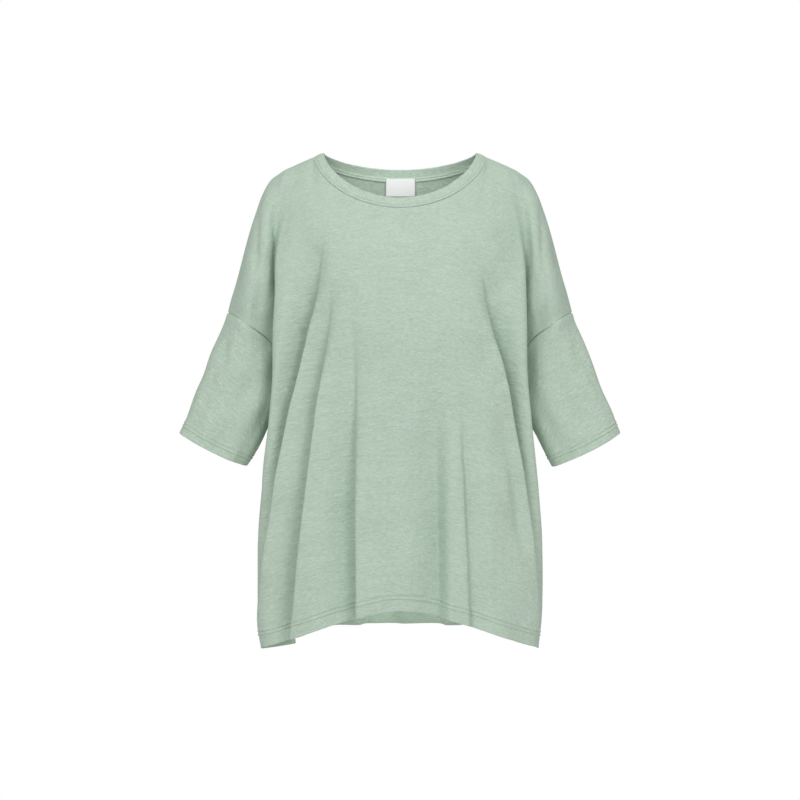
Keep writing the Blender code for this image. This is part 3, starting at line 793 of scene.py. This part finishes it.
look = {
    "dark": (0.437, 0.543, 0.449),
    "light": (0.532, 0.654, 0.548),
    # streaks of the mottled colour: fineness along each way of the cloth, detail, roughness, share
    "streaks": (
        ((150.0, 560.0, 1.0), 2.0, 0.60, 0.44),
        ((48.0, 300.0, 1.3), 2.0, 0.55, 0.17),
        ((420.0, 800.0, 1.0), 1.0, 0.50, 0.30),
        ((22.0, 26.0, 1.0), 2.0, 0.50, 0.09),
    ),
    "streakSpread": 0.12,
    "wander": (0.004, 0.0060, 0.0),
    "roughness": 0.92,
    "gloss": 0.15,
    "sheen": 0.20,
    "wale": 0.0011,
    "course": 0.0009,
    "stitchHeight": 0.00008,
    "crinkleHeight": 0.0022,
    "slub": (0.640, 0.730, 0.640),
    "slubShare": 0.7,
    "slubHeight": 0.00012,
    "bump": 1.0,
}
jersey = knit("jersey", look)
bandJersey = knit("bandJersey", {**look, "crinkleHeight": 0.0008})


def wovenLabel(name, look):
    made, shader, start = materialOf(name, {
        "Roughness": look["roughness"], "Specular IOR Level": 0.2, "Sheen Weight": 0.05,
    })
    place = clothCoordOf(start)
    across, down = place.part(0), place.part(1)
    toEdge = across.maths("ABSOLUTE").maths("MAXIMUM", down.maths("ABSOLUTE"))
    border = toEdge.between(0.93, 0.97)
    start.feed(shader.inputs["Base Color"], border.mix((*look["face"], 1.0), (*look["border"], 1.0)))
    threads = across.wave(0.05) * 0.00004
    start.feed(shader.inputs["Normal"], threads.bump(0.5))
    return made


labelLook = {"face": (0.94, 0.94, 0.94), "border": (0.80, 0.81, 0.80), "roughness": 0.7}
labelCloth = wovenLabel("labelCloth", labelLook)
threadCloth = materialOf("thread", {
    "Base Color": (0.560, 0.670, 0.575, 1.0), "Roughness": 0.65, "Specular IOR Level": 0.3,
})[0]
print("materials: jersey, band, label and thread are made")


# Rows and columns of the panels, closer beside seams and stitching
panelGrid = {
    "upperRows": 34,
    "lowerRows": 68,
    "columnSpans": ((0, 1, 50), (1, 2, 40), (2, 3, 26), (3, 4, 12), (4, 5, 12)),
    "armColumns": 36,
    "bodyPasses": (14, 24),
    "armPasses": (14, 8),
    "rowSpacing": 0.0053,
    "lowerSpacing": 0.0059,
    "columnSpacing": 0.0019,
    "armSpacing": 0.0042,
    "hemStrips": (0.0, 0.0012, 0.005, 0.011, 0.015),
    # the knit's rows droop by this times the way from the centre squared
    "droop": 1.1,
    # where a panel's hem is lifted, clear of the side seam
    "lift": {"fromX": 0.090, "over": 0.040, "seamClear": 0.022, "fromDrop": 0.52, "overDrop": 0.20},
    # how far the arm's folds keep from its crease, top line, neck end and armhole
    "armClear": (0.012, 0.010, 0.020, 0.012),
}
upperRows = panelGrid["upperRows"]
underarm = 2 * upperRows
rowStations = np.concatenate([
    np.linspace(0, 2, underarm + 1), np.linspace(2, 3, panelGrid["lowerRows"] + 1)[1:],
])
spans = [np.linspace(start, end, count + 1)[:-1] for start, end, count in panelGrid["columnSpans"]]
halfStations = np.concatenate([*spans, [sideStation]])
armStations = np.linspace(sideStation, topStation, panelGrid["armColumns"] + 1)
lastRow, lastColumn, lastArm = len(rowStations) - 1, 2 * len(halfStations) - 2, panelGrid["armColumns"]
strips, stitchStrips = np.array(cloth["seamStrips"]), np.array(stitch["strips"])
hemStrips = np.array([*panelGrid["hemStrips"], *(cloth["hemDepth"] + stitchStrips)])
besideRows, besideColumns = strips / panelGrid["rowSpacing"], strips / panelGrid["columnSpacing"]
rowPlaces = placesWith(lastRow, [
    *besideRows, *(underarm - besideRows), *(lastRow - hemStrips / panelGrid["lowerSpacing"]),
])
columnPlaces = placesWith(lastColumn, [*besideColumns, *(lastColumn - besideColumns)])
armPlaces = placesWith(lastArm, lastArm - strips / panelGrid["armSpacing"])
armRows = int(np.searchsorted(rowPlaces, underarm)) + 1
yokeRow = int(np.searchsorted(rowPlaces, upperRows))
neckSeam, sideSeam, armSeam = cloth["neckSeam"], cloth["sideSeam"], cloth["armSeam"]


def bodyGrid(panel):
    half = gridOf(bodyPoints, panel, rowStations, halfStations)
    body = relaxed(np.concatenate([half[:, :0:-1] * (-1, 1, 1), half], axis=1), panelGrid["bodyPasses"])
    lift, x, drop = panelGrid["lift"], body[:, :, 0], -body[:, :, 2]
    raised = smooth((x - lift["fromX"]) / lift["over"]) * smooth((x[-1, -1] - x) / lift["seamClear"])
    raised = raised * smooth((drop - lift["fromDrop"]) / lift["overDrop"])
    body[:, :, 2] += panel["hemLift"] * raised
    return resampled(resampled(body, rowPlaces, 0), columnPlaces, 1)


def armGrid(panel, side):
    # one side's dropped shoulder, in the left one's place, with the way down and out along it
    arm = relaxed(gridOf(armPoints, panel, rowStations[:underarm + 1], armStations), panelGrid["armPasses"])
    arm = resampled(resampled(arm, rowPlaces[:armRows], 0), armPlaces, 1)
    down, out = alongRows(arm), alongColumns(arm)
    press = puffs(arm * (side, 1, 1), 5 + side) * cloth["armPuff"]
    for line in panel["armLines"]:
        if line.side == side:
            press = press + trough(arm[:, :, 0], -arm[:, :, 2], line)
    for distance, fade in zip((out, out[:, -1:] - out, down, down[-1:] - down), panelGrid["armClear"]):
        press = press * smooth(distance / fade)
    return arm - gridNormals(arm) * panel["outward"] * press[:, :, None], down, out


def roundCrease(body, arm, side, down):
    # evens out the columns beside the crease, less and less down the arm
    count = cloth["creaseColumns"]
    near = body[:armRows, ::side]
    arm[:, 0] = near[:, -1] * (side, 1, 1)
    joined = np.concatenate([near[:, -count - 1:-1] * (side, 1, 1), arm[:, :count + 1]], axis=1)
    weight = (1 - smooth((down[:, :1] - cloth["creaseFrom"]) / cloth["creaseSettles"]))[:, :, None]
    for _ in range(cloth["creasePasses"]):
        even = (joined[:, 2:] + joined[:, :-2]) / 4 + joined[:, 1:-1] / 2
        joined[:, 1:-1] += (even - joined[:, 1:-1]) * weight
    arm[:, :count + 1] = joined[:, count:]
    near[:, -count - 1:] = joined[:, :count + 1] * (side, 1, 1)


def panelPiece(panel):
    # the body's grid, with an arm's grid on each edge down to the underarm
    outward = panel["outward"]
    body = bodyGrid(panel)
    down, across = alongRows(body), alongColumns(body)
    across -= across[:, [body.shape[1] // 2]]
    level = down - down[yokeRow] - body[yokeRow, :, 2] - panelGrid["droop"] * across**2
    coords = stacked(across, level, 0 * down + outward)

    body = folded(panel, body)
    normals = gridNormals(body) * outward
    body = grooved(body, normals, cloth["hemDepth"])
    body = sunk(body, normals, {"top": neckSeam, "left": sideSeam, "right": sideSeam}, rowsFrom=armRows - 1)
    hemmed, hemCoords = turnedHem(body, coords, gridNormals(body) * outward, cloth["hemDepth"])
    index, facingBack = indexOf(hemmed), outward > 0
    grids, allCoords, faces, count = [hemmed], [hemCoords], [gridFaces(index, facingBack)], index.size
    for side in (1, -1):
        arm, armDown, armOut = armGrid(panel, side)
        edge = coords[:armRows, ::side][:, -1:]
        armCoords = stacked(
            edge[:, :, 0] + side * armOut, edge[:, :, 1] + armDown - armDown[:, :1], 0 * armDown + outward,
        )
        roundCrease(hemmed, arm, side, armDown)
        arm = sunk(arm, gridNormals(arm) * outward, {"top": neckSeam, "bottom": armSeam, "right": neckSeam})
        grids.append(arm[:, 1:] * (side, 1, 1))
        allCoords.append(armCoords[:, 1:])
        outerIndex = count + indexOf(grids[-1])
        count += outerIndex.size
        shared = index[:armRows, ::side][:, -1:]
        faces.append(gridFaces(np.concatenate([shared, outerIndex], axis=1), facingBack != (side < 0)))
    addHemLines(body, gridNormals(body) * outward, cloth["hemDepth"])
    return addPiece(
        panel["name"], grids, np.concatenate(faces), allCoords, jersey, panel["node"],
        cloth["thickness"],
    )


def addHemLines(points, normals, depth, side=1):
    for below in (0.0, stitch["rowsApart"]):
        line, facing = (lineAt(values, points, depth - below) * (side, 1, 1) for values in (points, normals))
        hemLines.append((line, facing))


panels, hemLines = {}, []
for panel in (frontPanel, backPanel):
    panels[panel["name"]] = panelPiece(panel)
    print("panel:", panel["name"], "folded and hemmed")


sleeve = {
    "cut": {"flat": (0.379, 0.212), "area": 0.070},
    "tube": table(
        "place topX topDrop underX underDrop front back",
        (0.0, 0.2586, 0.239, 0.166, 0.34, 0.053, 0.05), (0.25, 0.2765, 0.286, 0.179, 0.373, 0.05, 0.048),
        (0.5, 0.2955, 0.334, 0.1945, 0.407, 0.048, 0.046),
        (0.75, 0.313, 0.378, 0.2115, 0.438, 0.046, 0.044), (1.0, 0.329, 0.419, 0.2295, 0.469, 0.044, 0.042),
    ),
    "rows": 60,
    "columns": 160,
    "rowSpacing": 0.0034,
    "pattern": 2.2,
    "seamSettles": 0.35,
    "fullness": 0.66,
    "cuffBow": 0.003,
    "hemDepth": 0.018,
    # soft folds at turns round the sleeve, which grow from the seam and ease near the cuff
    "foldsGrow": 0.05,
    "foldsEase": {"by": 0.35, "start": 0.12, "over": 0.06},
    "foldShift": 0.1,
    "seamClear": 0.020,
    "folds": table(
        "turn depth width",
        (0.75, 0.003, 0.22),
        (1.45, 0.0022, 0.2),
        (2.35, 0.0026, 0.24),
        (3.7, 0.0024, 0.24),
        (4.6, 0.003, 0.22),
        (5.3, 0.0024, 0.2),
    ),
    "lines": table(
        "side " + lineColumns,
        (-1, 0.249, 0.28, 0.25, 0.335, -0.0026, 0.007), (1, 0.25, 0.275, 0.256, 0.33, -0.002, 0.008),
    ),
    "hemStrips": (0.0, 0.0012, 0.004, 0.008),
}


def sleeveTube(place, turn):
    topX, topDrop, underX, underDrop, front, back = reads(
        sleeve["tube"], place, "topX topDrop underX underDrop front back"
    )
    top = stacked(topX, 0 * place, -topDrop)
    seamY = 0 * place - read(sections, "frontSide", cloth["underarmDrop"])
    under = stacked(underX, seamY, -underDrop)
    angle = turn * math.pi / 3
    depth = np.where(turn < 3, -front, back)
    points = (top + under) / 2 - (top - under) / 2 * np.cos(angle)[:, None]
    points[:, 1] += depth * np.abs(np.sin(angle)) ** sleeve["fullness"]
    points[:, 2] -= sleeve["cuffBow"] * place * np.sin(angle) ** 2
    return points


def armhole(turns, before=0.0):
    row = np.full(len(turns), 2.0 - before)
    front = armPoints(frontPanel, row, sideStation + np.clip(turns, 0, 3))
    back = armPoints(backPanel, row, sideStation + np.clip(6 - turns, 0, 3))
    return np.where((turns <= 3)[:, None], front, back)


def sleevePoints(places, turns):
    place, turn = (values.ravel() for values in np.meshgrid(places, turns, indexing="ij"))
    start, step = 0 * place, 0.01
    seam, plain = armhole(turn), sleeveTube(start, turn)
    plainStep = (sleeveTube(start + step, turn) - plain) / step
    seamStep = unit(seam - armhole(turn, before=step)) * np.linalg.norm(plainStep, axis=-1)[:, None]
    share = within(place / sleeve["seamSettles"])[:, None]
    points = sleeveTube(place, turn) + (seam - plain) * (1 - smooth(share))
    points = points + (seamStep - plainStep) * place[:, None] * (1 - share) ** 2
    return points.reshape(len(places), len(turns), 3)


def sleevePiece(side, name, node):
    last = sleeve["rows"]
    turns = np.linspace(0, 6, sleeve["columns"] + 1)
    points = sleevePoints(np.linspace(0, 1, last + 1), turns)
    besideHem = np.array([*sleeve["hemStrips"], *(sleeve["hemDepth"] + stitchStrips)])
    besideSeam, besideHem = strips / sleeve["rowSpacing"], besideHem / sleeve["rowSpacing"]
    points = resampled(points, placesWith(last, [*besideSeam, *(last - besideHem)]), 0)
    down, around = alongRows(points), alongColumns(points)
    coords = stacked(around, down, 0 * down + sleeve["pattern"] * side)
    normals = -closedNormals(points)
    turn = np.broadcast_to(turns, down.shape)
    press = puffs(points * (side, 1, 1), 9 + side) * cloth["armPuff"]
    easing = sleeve["foldsEase"]
    strength = smooth(down / sleeve["foldsGrow"])
    strength = strength * (1 - easing["by"] * smooth((down - easing["start"]) / easing["over"]))
    for fold in sleeve["folds"]:
        away = turn - fold.turn - sleeve["foldShift"] * side
        press = press + strength * fold.depth * bell(away, fold.width)
    inFront = points[:, :, 1] < 0.004
    for line in sleeve["lines"]:
        if line.side == side:
            press = press + inFront * trough(points[:, :, 0], -points[:, :, 2], line)
    press = press * smooth(down / sleeve["seamClear"])
    points = points - normals * press[:, :, None]
    normals = -closedNormals(points)
    points = grooved(points, normals, sleeve["hemDepth"])
    points = sunk(points, normals, {"top": armSeam})
    normals = -closedNormals(points)
    hemmed, coords = turnedHem(points, coords, normals, sleeve["hemDepth"])
    addHemLines(points, normals, sleeve["hemDepth"], side)
    return addPiece(
        name, [hemmed * (side, 1, 1)], gridFaces(indexOf(hemmed), side < 0), [coords],
        jersey, node, cloth["thickness"],
    )


leftSleeve = sleevePiece(1, "leftSleeveCloth", "sleeve_left")
rightSleeve = sleevePiece(-1, "rightSleeveCloth", "sleeve_right")
hemStitches = addStitches("hemStitches", hemLines, threadCloth)
print("sleeves: set in and hemmed")


def bandPoints(shares, turns):
    share, turn = (values.ravel() for values in np.meshgrid(shares, turns, indexing="ij"))
    points = np.zeros((len(share), 3))
    for panel, centre in ((frontPanel, 0), (backPanel, 2), (frontPanel, 4)):
        here = np.abs(turn - centre) <= 1
        fromCentre = np.abs(turn[here] - centre)
        seam, edge = neckLine(panel, fromCentre), neckLine(panel, fromCentre, edge=True)
        points[here] = seam + (edge - seam) * share[here][:, None]
        points[here, 0] *= np.where(np.sin(turn[here] * math.pi / 2) < 0, -1.0, 1.0)
    return points.reshape(len(shares), len(turns), 3)


def bandPiece():
    # a layer from the seam to the top edge, a soft fold, and the layer inside it
    turns = np.linspace(1, 5, band["columns"] + 1)
    outer = bandPoints(band["rows"], turns % 4)
    down, around = alongRows(outer), alongColumns(outer)
    share = down / down[-1:]
    normals = closedNormals(outer)
    swell = band["plump"] * np.sin(within(share) * math.pi)
    topstitch = band["topstitchDip"] * bell(down - band["topstitch"], band["topstitchWidth"])
    angle = around / around[:, -1:] * 2 * math.pi
    waves = sum(height * np.sin(times * angle + start) for times, height, start in band["waves"])
    outer = outer + normals * (swell - topstitch + waves * smooth(share * 2))[:, :, None]
    outer = sunk(outer, closedNormals(outer), {"top": neckSeam})
    normals = closedNormals(outer)
    fold, _ = rolled(outer, normals, band["foldRadius"], band["foldRows"])
    inner = outer[::-1][1:] - normals[::-1][1:] * 2 * band["foldRadius"]
    beyond = unit(inner[-6] - inner[-8])
    allowance = [inner[-1] + beyond * reach - normals[6] * sink for reach, sink in band["allowance"]]
    points = np.concatenate([outer, fold, inner, allowance])
    length = alongRows(points)
    coords = stacked(0 * length + around[0], length, 0 * length + band["pattern"])
    return addPiece(
        "neckbandCloth", [points], gridFaces(indexOf(points), True), [coords],
        bandJersey, "neckband", band["thickness"],
    )


neckband = bandPiece()


label = {
    "cut": {"flat": (0.0456, 0.0280), "area": 0.00126},
    "x": (-0.0219, 0.0237),
    "onBand": 0.27,
    "endRow": 0.165,
    "columns": 24,
    "clear": 0.0040,
    "thickness": 0.0005,
    "stiffness": 40,
}


def backLine(row, x):
    near = np.linspace(0.0, 1.0, 41)
    level = bodyPoints(backPanel, np.full(len(near), row), near)
    station = np.interp(np.abs(x), level[:, 0], near)
    line = bodyPoints(backPanel, np.full(len(x), row), station)
    line[:, 0] *= np.sign(x)
    return line


def labelPiece():
    x = np.linspace(*label["x"], label["columns"] + 1)
    turned = np.arcsin(x / cloth["neckHalfWidth"]) * 2 / math.pi
    onBand = bandPoints(np.linspace(label["onBand"], 0, 9)[:-1], 2 - turned)
    onBack = [backLine(row, x) for row in np.linspace(0.0, label["endRow"], 16)]
    points = np.concatenate([onBand, onBack])
    for _ in range(label["stiffness"]):
        points[1:-1] = (points[2:] + points[:-2]) / 4 + points[1:-1] / 2
    points = points - gridNormals(points) * label["clear"]
    rows, columns = points.shape[:2]
    down, across = np.meshgrid(np.linspace(-1, 1, rows), np.linspace(-1, 1, columns), indexing="ij")
    coords = stacked(across, down, 0 * down)
    return addPiece(
        "labelCloth", [points], gridFaces(indexOf(points), True), [coords],
        labelCloth, "neck_label", label["thickness"],
    )


neckLabel = labelPiece()
print("neckband and label: in place")

stage = {"floorDrop": 1.42, "floorSize": 4.3, "floorColor": (0.82, 0.82, 0.82, 1.0), "ambient": 0.48}
view = {"place": (0.0, -3.0, -0.3705), "lens": 90.0, "sensor": 36.0}
middle = (0.0, 0.0, -0.37)
lamps = table(
    "name place aim size power",
    ("keyLight", (-1.25, -3.0, 1.3), middle, 1.4, 38.0),
    ("fillLight", (1.6, -2.9, 0.2), middle, 1.6, 22.0),
    ("topLight", (0.1, -1.0, 2.3), middle, 1.0, 12.0),
    ("backLight", (0.4, 3.2, 1.2), middle, 2.0, 26.0),
    ("neckLight", (0.0, -0.043, -0.038), (0.0, 0.060, -0.056), 0.11, 0.046),
    ("hemLight", (0.0, -0.030, -0.50), (0.0, 0.08, -0.71), 0.14, 0.35),
)
for lamp in lamps:
    data = bpy.data.lights.new(lamp.name, "AREA")
    data.shape, data.size, data.energy = "DISK", lamp.size, lamp.power
    light = linked(lamp.name, data)
    light.location = lamp.place
    light.rotation_euler = (Vector(lamp.aim) - light.location).to_track_quat("-Z", "Y").to_euler()
    light.visible_camera = False

# the camera sees a white room, and the blouse gets only a part of its light
world = bpy.data.worlds.new("studio")
world.use_nodes = True
bpy.context.scene.world = world
backdrop = world.node_tree.nodes["Background"]
backdrop.inputs["Color"].default_value = (1.0, 1.0, 1.0, 1.0)
start = Wire(world.node_tree)
seenByCamera = start.make("LightPath")
start.feed(backdrop.inputs["Strength"], seenByCamera * (1 - stage["ambient"]) + stage["ambient"])

half, low = stage["floorSize"] / 2, -stage["floorDrop"]
corners = [(-half, -half, low), (half, -half, low), (half, half, low), (-half, half, low)]
floorMesh = bpy.data.meshes.new("floor")
floorMesh.from_pydata(corners, [], [(0, 1, 2, 3)])
floorMesh.materials.append(materialOf("floorPaper", {"Base Color": stage["floorColor"], "Roughness": 0.9})[0])
linked("floor", floorMesh)

cameraData = bpy.data.cameras.new("photoCamera")
cameraData.lens, cameraData.sensor_width = view["lens"], view["sensor"]
camera = linked("photoCamera", cameraData)
camera.location = view["place"]
camera.rotation_euler = (math.pi / 2, 0.0, 0.0)
bpy.context.scene.camera = camera
bpy.context.scene.view_settings.view_transform = "Standard"
print("light and camera: set")
